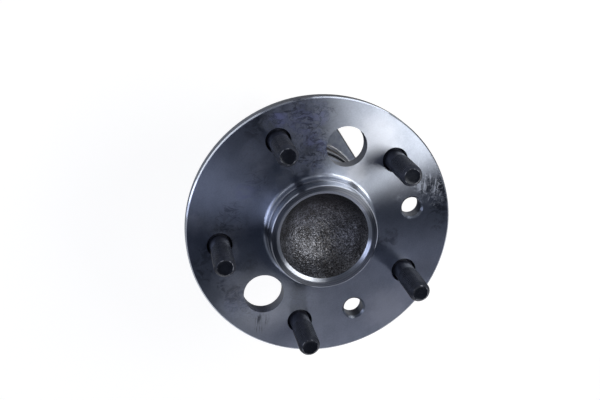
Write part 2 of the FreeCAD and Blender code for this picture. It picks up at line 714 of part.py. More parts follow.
# Every object is checked before anything is written
for thing in doc.Objects:
    if "Invalid" in thing.State or "Error" in thing.State:
        raise RuntimeError(thing.Name + " failed: " + ", ".join(thing.State))
for subpart in subparts:
    if subpart.Shape.isNull() or not subpart.Shape.isValid():
        raise RuntimeError(subpart.Label + " has no valid shape")

os.makedirs("parts", exist_ok=True)
for subpart in subparts:
    subpart.Shape.exportStep("parts/%s.step" % subpart.Label)
    print("%-18s %9.1f mm3, %d solid(s)" % (subpart.Label, subpart.Shape.Volume,
                                          len(subpart.Shape.Solids)))
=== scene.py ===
import math
import random

import bpy
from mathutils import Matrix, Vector, noise


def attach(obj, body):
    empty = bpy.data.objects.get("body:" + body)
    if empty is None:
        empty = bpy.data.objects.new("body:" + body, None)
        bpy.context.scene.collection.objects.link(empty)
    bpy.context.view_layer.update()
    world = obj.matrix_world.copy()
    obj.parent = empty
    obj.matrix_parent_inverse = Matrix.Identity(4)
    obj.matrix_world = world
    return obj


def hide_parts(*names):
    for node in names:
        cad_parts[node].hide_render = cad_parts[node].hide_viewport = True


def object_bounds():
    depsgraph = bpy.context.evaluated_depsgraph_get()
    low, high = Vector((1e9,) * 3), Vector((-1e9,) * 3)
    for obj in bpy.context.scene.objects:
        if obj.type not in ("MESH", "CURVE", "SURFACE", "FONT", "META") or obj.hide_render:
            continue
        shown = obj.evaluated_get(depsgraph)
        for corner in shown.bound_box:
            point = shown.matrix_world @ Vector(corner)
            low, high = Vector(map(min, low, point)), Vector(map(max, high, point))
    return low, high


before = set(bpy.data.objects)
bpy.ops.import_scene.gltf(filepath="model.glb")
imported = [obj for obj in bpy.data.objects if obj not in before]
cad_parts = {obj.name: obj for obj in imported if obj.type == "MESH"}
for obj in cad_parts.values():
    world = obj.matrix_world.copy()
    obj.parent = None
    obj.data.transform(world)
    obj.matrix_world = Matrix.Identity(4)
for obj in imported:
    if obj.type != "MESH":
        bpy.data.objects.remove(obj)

cad_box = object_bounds()


# The camera stands about half a metre from the wheel face and twenty degrees off the axle. It is
# turned so that one access hole shows above the pilot and the other below it, to the left.

CAMERA_SPOT = (0.012714, 0.194776, 0.534204)
CAMERA_TURN = (-18.16488, -9.85017, -31.85941)
LENS_LENGTH = 53.499
NEAREST_SEEN = 0.01

scene = bpy.context.scene
scene.view_settings.view_transform = "Standard"
lens = bpy.data.cameras.new("wheel_face_view")
lens.lens = LENS_LENGTH
lens.clip_start = NEAREST_SEEN
camera = bpy.data.objects.new("wheel_face_view", lens)
camera.location = CAMERA_SPOT
camera.rotation_euler = [math.radians(turn) for turn in CAMERA_TURN]
scene.collection.objects.link(camera)
scene.camera = camera


# The lamps: one soft box at the side, a long thin one behind, and a tall cool one across from the
# first light the wheel face in soft fans. Two low cards light the flange's chamfer.

UNIT_MIDDLE = Vector((0, 0, 0.05))
# Name, bearing and height angle in degrees, distance, width and height in metres, watts and tint
LAMPS = [("side_soft_box", -5.2, 52.3, 0.348, 0.232, 0.221, 0.73, (1.0, 0.97, 0.90)),
         ("back_soft_box", 257.5, 38.7, 0.547, 1.00, 0.118, 0.66, (0.95, 0.93, 1.0)),
         ("far_soft_box", 146.6, 38.0, 0.744, 0.30, 0.95, 1.55, (0.75, 0.80, 1.0)),
         ("low_card", 116.0, 11.0, 0.90, 1.15, 0.12, 0.87, (0.95, 0.97, 1.0)),
         ("front_card", 31.0, 8.5, 0.90, 0.70, 0.16, 0.80, (0.95, 0.97, 1.0))]


def soft_box(name, azimuth, elevation, distance, width, height, watts, tint):
    """A soft box that faces the middle of the unit and that the camera doesn't see."""
    lamp = bpy.data.lights.new(name, "AREA")
    lamp.shape = "RECTANGLE"
    lamp.size = width
    lamp.size_y = height
    lamp.energy = watts
    lamp.color = tint
    bearing = math.radians(azimuth)
    climb = math.radians(elevation)
    flat = math.cos(climb)
    stand = bpy.data.objects.new(name, lamp)
    stand.location = UNIT_MIDDLE + distance * Vector((flat * math.cos(bearing), flat * math.sin(bearing),
                                                      math.sin(climb)))
    aim = UNIT_MIDDLE - stand.location
    stand.rotation_euler = aim.to_track_quat("-Z", "Y").to_euler()
    stand.visible_camera = False
    scene.collection.objects.link(stand)


for lamp_facts in LAMPS:
    soft_box(*lamp_facts)


# The room round the unit: grey walls at eye level that darken to a nearly black ceiling, so that
# the turned steel, which mirrors it, looks deep blue-grey between the fans of light.

# Height, from level at 0 to straight overhead at 1, and the wall's colour there
ROOM_TONES = [(0.0, (0.34, 0.35, 0.37)), (0.30, (0.27, 0.28, 0.31)), (0.55, (0.15, 0.16, 0.18)),
              (0.75, (0.036, 0.042, 0.060)), (1.0, (0.013, 0.016, 0.025))]

room = bpy.data.worlds.new("dark_ceiling")
room.use_nodes = True
room_nodes = room.node_tree.nodes
room_links = room.node_tree.links
view_line = room_nodes.new("ShaderNodeTexCoord")
upward = room_nodes.new("ShaderNodeSeparateXYZ")
wall = room_nodes.new("ShaderNodeValToRGB")
room_links.new(view_line.outputs["Generated"], upward.inputs[0])
room_links.new(upward.outputs["Z"], wall.inputs[0])
room_links.new(wall.outputs[0], room_nodes["Background"].inputs["Color"])
bands = wall.color_ramp
bands.interpolation = "LINEAR"
while len(bands.elements) < len(ROOM_TONES):
    bands.elements.new(0.5)
for element, (height, tone) in zip(bands.elements, ROOM_TONES):
    element.position = height
    element.color = (*tone, 1.0)
scene.world = room


# The floor: a plain pale sheet, on which the unit stands on its dust cap. Seen by the camera or in
# the metal it glows like white paper, with a matt tone that keeps the unit's shadow. The lamps'
# light bounces off it as off any pale matt sheet.

MM = 0.001
FLOOR_LEVEL = cad_box[0][2]
FLOOR_REACH = 6.5
PAPER_GLOW = 0.86
PAPER_SHADE = (0.3, 0.3, 0.3, 1.0)


class Finish:
    """A surface finish, with patterns laid out in millimetres from the bearing's origin."""

    def __init__(self, name, **levels):
        self.material = bpy.data.materials.new(name)
        self.material.use_nodes = True
        self.nodes = self.material.node_tree.nodes
        self.links = self.material.node_tree.links
        self.surface = self.nodes["Principled BSDF"]
        for socket, level in levels.items():
            self.surface.inputs[socket.replace("_", " ")].default_value = level
        spot = self.nodes.new("ShaderNodeTexCoord")
        self.facing = spot.outputs["Normal"]
        self.place = self.add("VectorMath", spot.outputs["Object"], None, None, 1 / MM,
                              operation="SCALE")

    def add(self, kind, *sources, out=0, **choices):
        """Add one node, feed its sockets in order, and give back one of its outputs."""
        node = self.nodes.new("ShaderNode" + kind)
        for choice, what in choices.items():
            setattr(node, choice, what)
        for socket, source in zip(node.inputs, sources):
            if isinstance(source, bpy.types.NodeSocket):
                self.links.new(source, socket)
            elif source is not None:
                socket.default_value = source
        return node.outputs[out]

    def sum(self, first, second):
        return self.add("Math", first, second, operation="ADD")

    def less(self, first, second):
        return self.add("Math", first, second, operation="SUBTRACT")

    def times(self, first, second):
        return self.add("Math", first, second, operation="MULTIPLY")

    def over(self, first, second):
        return self.add("Math", first, second, operation="DIVIDE")

    def most(self, first, second):
        return self.add("Math", first, second, operation="MAXIMUM")

    def unsigned(self, value):
        return self.add("Math", value, operation="ABSOLUTE")

    def rise(self, value, start, end, low=0.0, high=1.0):
        """A smooth step of a value, from low at its start to high at its end."""
        return self.add("MapRange", value, start, end, low, high, interpolation_type="SMOOTHSTEP")

    def band(self, value, start, full, fading, end):
        """A smooth band of a value, that is full from the second to the third of four levels."""
        return self.times(self.rise(value, start, full), self.rise(value, end, fading))

    def axes(self, place=None):
        """The three coordinates of a place."""
        split = self.nodes.new("ShaderNodeSeparateXYZ")
        self.links.new(place or self.place, split.inputs[0])
        return split.outputs

    def clouds(self, place, scale, detail, rough, bend=0.0, out=0):
        """Noise over a place, from 0 to 1, with scale features to a millimetre, bent into curls."""
        return self.add("TexNoise", place, None, scale, detail, rough, None, None, None, bend, out=out)

    def grain(self, size, detail=4.0, rough=0.55):
        """Cloudy noise, from 0 to 1, whose largest features are about size millimetres."""
        return self.clouds(self.place, 1 / size, detail, rough)

    def rings(self, path, scale, detail, rough):
        """Noise, from 0 to 1, that changes along a path alone."""
        return self.add("TexNoise", None, path, scale, detail, rough, noise_dimensions="1D")

    def mix(self, amount, first, second):
        """A colour between two colours."""
        first, second = [shade if isinstance(shade, bpy.types.NodeSocket) else (*shade, 1.0)
                         for shade in (first, second)]
        return self.add("MixRGB", amount, first, second)

    def layered(self, tone, layers):
        """A tone under layers of where, how strongly and which colour, each over the one before."""
        for where, strength, colour in layers:
            tone = self.mix(self.times(where, strength), tone, colour)
        return tone

    def wear(self, **sources):
        """Feed sockets of the surface from patterns."""
        for socket, source in sources.items():
            self.links.new(source, self.surface.inputs[socket.replace("_", " ")])

    def relief(self, height, depth):
        """Raise the surface by a pattern, by a depth in millimetres at most."""
        bumped = self.nodes.new("ShaderNodeBump")
        bumped.inputs["Strength"].default_value = 1.0
        bumped.inputs["Distance"].default_value = depth * MM
        self.links.new(height, bumped.inputs["Height"])
        self.links.new(bumped.outputs["Normal"], self.surface.inputs["Normal"])


def new_piece(name, points, faces, finish):
    """A piece of its own, from points in metres and faces, in one finish."""
    mesh = bpy.data.meshes.new(name)
    mesh.from_pydata(points, [], faces)
    mesh.shade_smooth()
    mesh.materials.append(finish.material)
    piece = bpy.data.objects.new(name, mesh)
    scene.collection.objects.link(piece)
    return piece


pale = Finish("pale_floor", Base_Color=(0.8, 0.8, 0.8, 1.0), Roughness=0.9)
paper = pale.add("AddShader", pale.add("Emission", None, PAPER_GLOW), pale.add("BsdfDiffuse", PAPER_SHADE))
rays = pale.nodes.new("ShaderNodeLightPath").outputs
shows = pale.most(pale.most(rays["Is Camera Ray"], rays["Is Glossy Ray"]), rays["Is Transmission Ray"])
seen = pale.add("MixShader", shows, pale.surface.outputs[0], paper)
pale.links.new(seen, pale.nodes["Material Output"].inputs["Surface"])
floor_corners = [(across * FLOOR_REACH, along * FLOOR_REACH, FLOOR_LEVEL)
                 for across, along in ((-1, -1), (1, -1), (1, 1), (-1, 1))]
floor = new_piece("pale_floor", floor_corners, [(0, 1, 2, 3)], pale)


# The hub spindle: one steel forging with the wheel flange and the pilots, turned bright on its
# wheel side. The face keeps the tool's rings and gathers an oil film, grime, and the rubs and
# scratches of handling. Raceway, seal land and inner ring seat are ground, and hidden inside.

# Heights and radii, in millimetres, that tell the spindle's surfaces apart
WHEEL_FACE = 71.0
PILOT_END = 84.5
PILOT_FOOT = 34.6
FLANGE_RIM = 75.0
NECK_TOP = 61.0
NECK_WALL = 29.0
HOLES_FROM = 36.0
SMALL_HOLES_SPAN = (44.0, 45.0, 61.5, 62.5)

# Marks on the wheel face: across, along and reach in millimetres, and strength
OIL_FILM = [(25, 61, 13, 1.0), (35, 59, 10, 0.7), (13, 65, 12, 0.9), (22, 49, 11, 1.0), (26, 40, 9, 1.0),
            (17, 36, 9, 0.9), (8, 40, 9, 0.8), (20, 30, 6, 0.6), (-3, 35, 8, 0.3), (-24, 42, 9, 0.2),
            (-8, 60, 8, 0.4), (-50, 20, 10, 0.3), (-60, 4, 11, 0.4), (-63, -10, 13, 0.7),
            (-52, -20, 12, 0.5), (-33, -30, 9, 0.5)]
OIL_SWIRLS = [(15, 67, 6, 1.0), (24, 58, 8, 0.6), (24, 44, 6, 0.6), (33, 54, 6, 0.5), (-22, 42, 9, 0.4)]
DRIED_CURLS = [(29, 58, 11, 1.0), (39, 55, 7, 0.5), (20, 37, 8, 1.0), (10, 39, 8, 1.0), (24, 70, 8, 0.8),
               (13, 68, 7, 0.7), (27, 46, 8, 0.8), (-14, 45, 10, 0.3), (-38, 35, 12, 0.5),
               (-47, 27, 11, 0.4), (-60, -8, 11, 0.5), (-57, -18, 9, 0.4), (64, -26, 8, 0.5)]
RUBBED_SPOTS = [(-54, -5, 17, 0.8), (-56, -24, 17, 0.5), (7, -66, 19, 0.9), (22, -62, 12, 0.6),
                (51, -8, 14, 0.5), (52, 26, 20, 0.8), (34, 17, 9, 1.0), (-13, 36, 6, 0.6),
                (-8, 45, 10, 1.0), (-38, 26, 7, 0.8), (-57, 44, 8, 0.9)]
GRIME = [(0, 70, 9, 0.5), (28, 70, 5, 0.8), (33, 66, 4, 0.5), (-38, 33, 12, 0.35), (-47, 29, 11, 0.6),
         (-58, 24, 10, 0.6), (-66, 18, 10, 0.6), (-50, 43, 6, 0.2), (-64, 5, 5, 0.8), (-65, 0, 4, 0.6),
         (-57, 15, 6, 0.4), (-62, -4, 9, 0.5), (-56, -12, 8, 0.4), (-46, 6, 8, 0.3), (27, -30, 7, 0.6),
         (33, -26, 5, 0.4), (6, 71, 5, 0.6), (30, 66, 8, 0.6), (21, 44, 6, 0.6), (64, -14, 8, 0.8),
         (70, -18, 8, 0.9), (72, -26, 9, 0.9), (65, -29, 9, 0.8), (59, -34, 8, 0.6)]
DARK_SCRAPES = [(-54, -21, 5, 0.8), (-57, -27, 6, 1.0), (-61, -31, 4, 0.6)]
WIPED_STREAKS = [(63, -9, 8, 1.0), (66, -14, 7, 0.9), (67, -3, 6, 0.5)]
BRIGHT_NICKS = [(62, -12, 9, 0.9), (56, -16, 7, 0.7), (68, -18, 7, 0.9), (49, -8, 8, 0.5), (64, -23, 7, 0.6)]
PALE_SPECKS = [(63, -25, 9, 1.0), (60, -37, 10, 0.7), (67, -34, 8, 0.7), (57, -14, 9, 0.7)]


def dress(node, finish):
    """Give a piece of the frame its finish."""
    slots = node.data.materials
    slots.clear()
    slots.append(finish.material)


def turned_tones(finish, dark, light, ring_size):
    """The turning tool's rings, the colour they give between dark and light, radius and height."""
    across, along, up = finish.axes()
    radius = finish.add("Math", finish.sum(finish.times(across, across), finish.times(along, along)),
                        operation="SQRT")
    path = finish.sum(radius, up)
    rings = finish.rings(path, 1 / ring_size, 5.0, 0.65)
    reach = finish.most(radius, 1.0)
    arc = finish.add("CombineXYZ", finish.times(finish.over(across, reach), 2.5),
                     finish.times(finish.over(along, reach), 2.5), finish.times(path, 1.4))
    streaks = finish.clouds(arc, 1.0, 2.0, 0.5)
    pattern = finish.sum(finish.times(rings, 0.8), finish.times(streaks, 0.2))
    return rings, finish.mix(finish.rise(pattern, 0.3, 0.7), dark, light), radius, up


def turning_lay(finish):
    """Stretch the shine round the axle, as the tool's marks do."""
    finish.wear(Tangent=finish.add("Tangent", direction_type="RADIAL", axis="Z"))


def toward(finish, azimuth):
    """How far a place lies from the axle toward a bearing, in millimetres."""
    bearing = math.radians(azimuth)
    return finish.add("VectorMath", finish.place, (math.cos(bearing), math.sin(bearing), 0), out=1,
                      operation="DOT_PRODUCT")


steel = Finish("turned_steel", Metallic=1.0, Anisotropic=0.9, Anisotropic_Rotation=0.25,
               Specular_IOR_Level=0.2)
turning_lay(steel)
rings, turned, radius, up = turned_tones(steel, (0.42, 0.468, 0.572), (0.44, 0.490, 0.598), 0.9)


def patches(places, ragged, core=0.5):
    """Patches on the wheel face as one mask, with edges ragged by some millimetres."""
    drift = steel.add("VectorMath", steel.clouds(steel.place, 0.2, 8.0, 0.66, out=1), (ragged, ragged, 0),
                      (-ragged / 2, -ragged / 2, 0), operation="MULTIPLY_ADD")
    spot = steel.add("VectorMath", steel.place, drift, operation="ADD")
    mask = None
    for across, along, reach, strength in places:
        gap = steel.add("VectorMath", spot, (across, along, WHEEL_FACE), out=1, operation="DISTANCE")
        patch = steel.rise(gap, reach, core * reach, 0.0, strength)
        mask = patch if mask is None else steel.most(mask, patch)
    return mask


STREAK_BEARING = 55
lengthwise = toward(steel, STREAK_BEARING)
crosswise = toward(steel, STREAK_BEARING - 90)


def drawn_out(cross_scale, length_scale, rough, bend=0.0):
    """Noise with scales of its own across and along the way that the streaks on the face run."""
    flow = steel.add("CombineXYZ", steel.times(crosswise, cross_scale),
                     steel.times(lengthwise, length_scale), 0.0)
    return steel.clouds(flow, 1.0, 4.0, rough, bend)


def middle_lines(pattern, width):
    """Thin lines where a noise passes its middle level."""
    return steel.rise(steel.unsigned(steel.less(pattern, 0.5)), width, 0.01)


# The marks: each is a noise, kept where its patches lie
marble = steel.clouds(steel.place, 0.16, 8.0, 0.68, 1.2)
wisps = steel.clouds(steel.place, 0.34, 8.0, 0.64, 2.8)
wisps = steel.most(steel.rise(wisps, 0.39, 0.56),
                   steel.times(patches(OIL_SWIRLS, 6.0), steel.rise(wisps, 0.34, 0.56)))
eddies = drawn_out(0.09, 0.19, 0.5, 1.3)
loops = steel.clouds(steel.place, 0.26, 2.0, 0.5, 1.6)
speckle = steel.grain(0.9, 3.0, 0.6)
film = steel.times(patches(OIL_FILM, 16.0, 0.35), steel.rise(marble, 0.34, 0.56, 0.5, 1.0))
swirls = steel.times(patches(OIL_SWIRLS, 8.0, 0.4), steel.rise(eddies, 0.40, 0.60))
curls = steel.times(patches(DRIED_CURLS, 10.0, 0.4), middle_lines(eddies, 0.04))
rubbed = patches(RUBBED_SPOTS, 14.0, 0.3)
grime = steel.times(patches(GRIME, 12.0, 0.3), steel.rise(marble, 0.56, 0.44, 0.2, 1.0))
scraped = steel.times(patches(DARK_SCRAPES, 3.0, 0.2), steel.rise(drawn_out(2.2, 0.10, 0.6), 0.50, 0.42))
wiped = steel.times(patches(WIPED_STREAKS, 5.0), steel.rise(drawn_out(0.9, 0.10, 0.6), 0.50, 0.60))
nicked = steel.times(patches(BRIGHT_NICKS, 7.0, 0.4), middle_lines(loops, 0.03))
specked = steel.times(patches(PALE_SPECKS, 7.0, 0.4), steel.rise(speckle, 0.56, 0.68))

# The spindle's surfaces, told apart by the way they face, their radius and their height
facing_up = steel.axes(steel.facing)[2]
upright = steel.rise(steel.unsigned(facing_up), 0.45, 0.25)
slanted = steel.band(facing_up, 0.56, 0.62, 0.86, 0.92)
# Faces turned downward, which are painted darker: painted shade
painted_shade_beneath = steel.rise(facing_up, -0.10, -0.45)
hole_walls = steel.times(upright, steel.rise(radius, HOLES_FROM, HOLES_FROM + 0.5))
rim = steel.times(upright, steel.rise(radius, FLANGE_RIM, FLANGE_RIM + 0.4))
rim_chamfer = steel.times(slanted, steel.rise(radius, FLANGE_RIM - 0.1, FLANGE_RIM + 0.05))
hole_chamfers = steel.times(slanted, steel.band(radius, *SMALL_HOLES_SPAN))
# Two sides of the rim's chamfer, which are painted near black: a painted dark reflection
rim_chamfer_painted_dark_sides = steel.most(steel.rise(toward(steel, 350), 62.0, 71.0),
                        steel.times(steel.rise(toward(steel, 265), 44.0, 62.0), 0.35))
# The neck under the wheel flange, painted dark and darkest on its upright wall: painted shade
neck_painted_shade = steel.times(steel.rise(up, NECK_TOP, NECK_TOP - 2.0), steel.rise(radius, NECK_WALL, NECK_WALL + 0.6))
pilot = steel.times(steel.rise(radius, PILOT_FOOT, PILOT_FOOT - 1.0),
                    steel.rise(up, WHEEL_FACE + 0.1, WHEEL_FACE + 0.9))
# The pilot's root on its left side, painted darker: painted shade
pilot_root_painted_shade = steel.times(pilot, steel.rise(toward(steel, 140), 16.0, 30.0))
pilot_end = steel.times(steel.times(pilot, steel.rise(up, PILOT_END - 0.3, PILOT_END - 0.1)),
                        steel.rise(facing_up, 0.93, 0.98))
haze = steel.rise(steel.grain(9.0, 7.0, 0.62), 0.35, 0.70)
dulled = steel.sum(steel.times(haze, 0.30), steel.times(steel.rise(speckle, 0.38, 0.62), 0.20))
fine_rings = steel.rings(steel.sum(radius, up), 2.2, 3.0, 0.6)

# The colours, each laid over the ones before it. The rim's wall, two sides of its chamfer, the faces turned
# downward, the neck and the pilot's left root get painted shade and painted dark reflections
pilot_tone = steel.mix(steel.rise(fine_rings, 0.40, 0.60), (0.24, 0.262, 0.315), (0.60, 0.64, 0.725))
# The rim's wall, painted dark and darkest toward the right: a painted dark reflection
rim_wall_painted_shade = steel.mix(steel.rise(toward(steel, 15), 20.0, 52.0), (0.105, 0.12, 0.15), (0.045, 0.05, 0.06))
film_tone = steel.mix(wisps, (0.035, 0.040, 0.070), (0.138, 0.160, 0.262))
tone = steel.layered(turned, [
    (dulled, 1.0, (0.24, 0.27, 0.36)),
    (rubbed, 0.42, (0.76, 0.80, 0.90)),
    (pilot, 0.85, pilot_tone),
    (pilot_root_painted_shade, 0.6, (0.13, 0.14, 0.165)),
    (pilot_end, 0.55, (0.13, 0.145, 0.19)),
    (hole_chamfers, 0.6, (0.11, 0.12, 0.14)),
    (hole_walls, 0.9, (0.06, 0.065, 0.08)),
    (rim, 0.9, rim_wall_painted_shade),
    (rim_chamfer, 0.7, (0.54, 0.56, 0.60)),
    (steel.times(rim_chamfer, rim_chamfer_painted_dark_sides), 0.9, (0.02, 0.023, 0.03)),
    (painted_shade_beneath, 0.7, (0.10, 0.108, 0.125)),
    (neck_painted_shade, 0.72, (0.085, 0.09, 0.105)),
    (steel.times(neck_painted_shade, upright), 0.8, (0.032, 0.035, 0.042)),
    (film, 0.92, film_tone),
    (swirls, 0.85, (0.23, 0.255, 0.47)),
    (grime, 0.85, (0.036, 0.041, 0.063)),
    (curls, 0.7, (0.022, 0.026, 0.046)),
    (scraped, 1.0, (0.03, 0.034, 0.05)),
    (wiped, 0.7, (0.60, 0.66, 0.78)),
    (specked, 0.5, (0.60, 0.66, 0.80)),
    (nicked, 0.6, (0.70, 0.76, 0.88)),
])
# Oil, the drilled walls and scratches shine less like bare metal
covered = steel.most(steel.times(film, 0.35), steel.times(hole_walls, 0.4))
covered = steel.most(covered, steel.times(steel.most(wiped, nicked), 0.5))
roughened = steel.sum(steel.rise(rings, 0.3, 0.7, 0.279, 0.271), steel.times(film, 0.1))
roughened = steel.sum(roughened, steel.sum(steel.times(hole_walls, 0.15), steel.times(speckle, 0.01)))
steel.wear(Base_Color=tone, Metallic=steel.less(1.0, covered),
           Roughness=steel.less(roughened, steel.times(rim_chamfer, 0.13)))
steel.relief(rings, 0.0004)
dress(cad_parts["hub_spindle"], steel)


# The cup inside the pilot: left as it came from the forging dies, uneven and pitted, under dark
# scale with bare metal at its high spots. Only its mouth is turned. It is made as a skin that
# stands a few tenths of a millimetre off the spindle's solid.

CUP_MOUTH = Vector((24.9, 83.1))
CUP_CORNER = Vector((19.2, 65.5))
CUP_BLEND = 23.0
CUP_ROUND = 420
CUP_ROWS = 140
MOUTH_FADE = 2.5
SKIN_LEAST = 0.03
SKIN_THICK = 0.32
SKIN_AT_MIDDLE = 0.3
# Breadth and height of the forged surface's swells, of its roughness and of its pits
SWELL_BREADTH, SWELL_HEIGHT = 9.0, 0.12
ROUGH_BREADTH, ROUGH_HEIGHT = 1.1, 0.09
PIT_BREADTH, PIT_DEPTH = 1.7, 0.13
PIT_REACH = 0.42


def cup_line(share):
    """The cup's wall a share of the way in from its mouth: place, way out of the metal, distance."""
    wall_turn = math.atan2(CUP_MOUTH.y - CUP_CORNER.y, CUP_MOUTH.x - CUP_CORNER.x)
    blend_reach = CUP_BLEND * math.tan(wall_turn / 2)
    wall = (CUP_MOUTH - CUP_CORNER).length - blend_reach
    arc = CUP_BLEND * wall_turn
    flat = CUP_CORNER.x - blend_reach
    gone = share * (wall + arc + flat)
    if gone < wall:
        down = Vector((-math.cos(wall_turn), -math.sin(wall_turn)))
        return CUP_MOUTH + down * gone, Vector((-math.sin(wall_turn), math.cos(wall_turn))), gone
    if gone < wall + arc:
        turn = wall_turn - (gone - wall) / CUP_BLEND
        out_of = Vector((-math.sin(turn), math.cos(turn)))
        return Vector((flat, CUP_CORNER.y + CUP_BLEND)) - CUP_BLEND * out_of, out_of, gone
    return Vector((flat + wall + arc - gone, CUP_CORNER.y)), Vector((0, 1)), gone


def forged_lift(spot, gone):
    """How far the scale stands off the cup's wall at a spot, thinning out toward the mouth."""
    fade = min(1.0, gone / MOUTH_FADE)
    swell = noise.fractal(spot / SWELL_BREADTH, 1.0, 2.0, 3)
    rough = noise.fractal(spot / ROUGH_BREADTH, 0.6, 2.0, 3)
    pit = max(0.0, PIT_REACH - noise.voronoi(spot / PIT_BREADTH)[0][0]) / PIT_REACH
    uneven = SKIN_THICK + SWELL_HEIGHT * swell + ROUGH_HEIGHT * rough - PIT_DEPTH * pit
    return max(SKIN_LEAST + fade * uneven, SKIN_LEAST)


def ring_faces(rows, steps):
    """Faces that join each ring of points to the next."""
    faces = []
    for row in range(rows - 1):
        for step in range(steps):
            after = (step + 1) % steps
            faces.append((row * steps + step, row * steps + after,
                          (row + 1) * steps + after, (row + 1) * steps + step))
    return faces


points = []
for row in range(CUP_ROWS):
    (line_radius, line_height), out_of, gone = cup_line(row / CUP_ROWS)
    for step in range(CUP_ROUND):
        turn = 2 * math.pi * step / CUP_ROUND
        spot = Vector((line_radius * math.cos(turn), line_radius * math.sin(turn), line_height))
        lift = forged_lift(spot, gone)
        points.append(((line_radius + out_of.x * lift) * math.cos(turn) * MM,
                       (line_radius + out_of.x * lift) * math.sin(turn) * MM,
                       (line_height + out_of.y * lift) * MM))
points.append((0, 0, (CUP_CORNER.y + SKIN_AT_MIDDLE) * MM))
faces = ring_faces(CUP_ROWS, CUP_ROUND)
last = (CUP_ROWS - 1) * CUP_ROUND
for step in range(CUP_ROUND):
    faces.append((last + step, last + (step + 1) % CUP_ROUND, len(points) - 1))

scale = Finish("forging_scale", Metallic=0.85, Roughness=0.45)
crust = scale.grain(0.8, 3.0, 0.7)
cloudy = scale.less(scale.grain(8.0, 3.0, 0.5), 0.5)
bare = scale.rise(scale.sum(crust, scale.times(cloudy, 0.35)), 0.37, 0.72)
# The bare metal is tinted cooler toward the left, a painted tint of the light, and painted much darker on
# the upper wall: painted shade
bright = scale.mix(scale.rise(toward(scale, 145), -9.0, 7.0), (0.285, 0.29, 0.315), (0.315, 0.335, 0.40))
shaded_side = scale.times(scale.rise(toward(scale, 55), 5.0, 19.0), 0.78)
bright = scale.mix(shaded_side, bright, (0.075, 0.075, 0.085))
scale.wear(Base_Color=scale.mix(bare, (0.040, 0.039, 0.041), bright),
           Roughness=scale.rise(bare, 0.0, 1.0, 0.42, 0.28))
scale.relief(scale.sum(scale.grain(0.9, 3.0, 0.7), scale.times(scale.grain(2.6, 2.0, 0.5), 1.6)), 0.34)
cup = new_piece("forged_cup", points, faces, scale)
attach(cup, "hub")


# The five wheel studs: cold headed M12 bolts, pressed in from behind until the head meets the
# flange and gripped there by serrations, with a rolled thread on the end that holds the wheel.
# They are steel with a black phosphate coat, which is chipped at the tips' edges.

STUDS = 5
STUD_FIRST = 10.3
STUD_CIRCLE = 57.15
STUD_TIP = 104.1
SHANK = 5.62
CREST = 5.9
THREAD_PITCH = 1.5
THREAD_DEPTH = 0.6
SHANK_FROM = 69.6
THREAD_START = 80.0
THREAD_RUN_OUT = 2.0
TIP_LENGTH = 1.7
RINGS_TO_PITCH = 8
FLANK_SLOPE = 2.6
STUD_ROUND = 72
SHARP_FOLD = 35
# Rings of points up a stud: height, radius, depth of serrations, share of thread, and wear
HEAD_RINGS = [(58.0, 8.2, 0, 0, 0), (58.25, 8.55, 0, 0, 0.3), (58.8, 9.0, 0, 0, 0.3),
              (61.8, 9.0, 0, 0, 0.2), (62.0, 8.9, 0, 0, 0), (62.0, 7.3, 0, 0, 0)]
SERRATED_RINGS = [(62.05, 7.1, 0.22, 0, 0), (68.3, 7.1, 0.22, 0, 0), (68.9, 6.45, 0.1, 0, 0),
                  (69.3, SHANK, 0, 0, 0)]
TIP_RINGS = [(102.4, 5.85, 0, 0.9, 0), (102.8, 5.5, 0, 0.6, 0), (103.2, 5.15, 0, 0.3, 0),
             (103.6, 4.75, 0, 0.1, 0), (103.85, 4.5, 0, 0, 0), (104.0, 4.36, 0, 0, 0.4),
             (104.09, 4.22, 0, 0, 1.0), (104.08, 4.05, 0, 0, 0), (103.95, 3.8, 0, 0, 0),
             (103.9, 2.5, 0, 0, 0)]

stud_rings = HEAD_RINGS + SERRATED_RINGS
height = SHANK_FROM
while height < STUD_TIP - TIP_LENGTH:
    cut = min(1.0, max(0.0, (height - THREAD_START) / THREAD_RUN_OUT))
    stud_rings.append((height, SHANK + (CREST - SHANK) * cut, 0, cut, 0))
    height += THREAD_PITCH / RINGS_TO_PITCH
stud_rings += TIP_RINGS


def stud_piece(name, turn, start, finish):
    """One stud, its thread starting at an angle of its own."""
    middle = Vector((STUD_CIRCLE * math.cos(turn), STUD_CIRCLE * math.sin(turn), 0))
    points = []
    wear = []
    for height, reach, serration, cut, worn in stud_rings:
        for step in range(STUD_ROUND):
            around = 2 * math.pi * step / STUD_ROUND
            groove = (height / THREAD_PITCH - around / (2 * math.pi) + start) % 1.0
            dip = max(0.0, 1.0 - abs(groove - 0.5) * FLANK_SLOPE)
            depth = THREAD_DEPTH * cut * dip + serration * (step % 2)
            points.append((middle + Vector(((reach - depth) * math.cos(around),
                                            (reach - depth) * math.sin(around), height))) * MM)
            wear.append(worn)
    for end_height in (HEAD_RINGS[0][0], TIP_RINGS[-1][0]):
        points.append((middle + Vector((0, 0, end_height))) * MM)
        wear.append(0.0)
    faces = ring_faces(len(stud_rings), STUD_ROUND)
    last = (len(stud_rings) - 1) * STUD_ROUND
    for step in range(STUD_ROUND):
        after = (step + 1) % STUD_ROUND
        faces.append((after, step, len(points) - 2))
        faces.append((last + step, last + after, len(points) - 1))
    piece = new_piece(name, points, faces, finish)
    piece.data.attributes.new("worn", "FLOAT", "POINT").data.foreach_set("value", wear)
    piece.data.set_sharp_from_angle(angle=math.radians(SHARP_FOLD))
    return piece


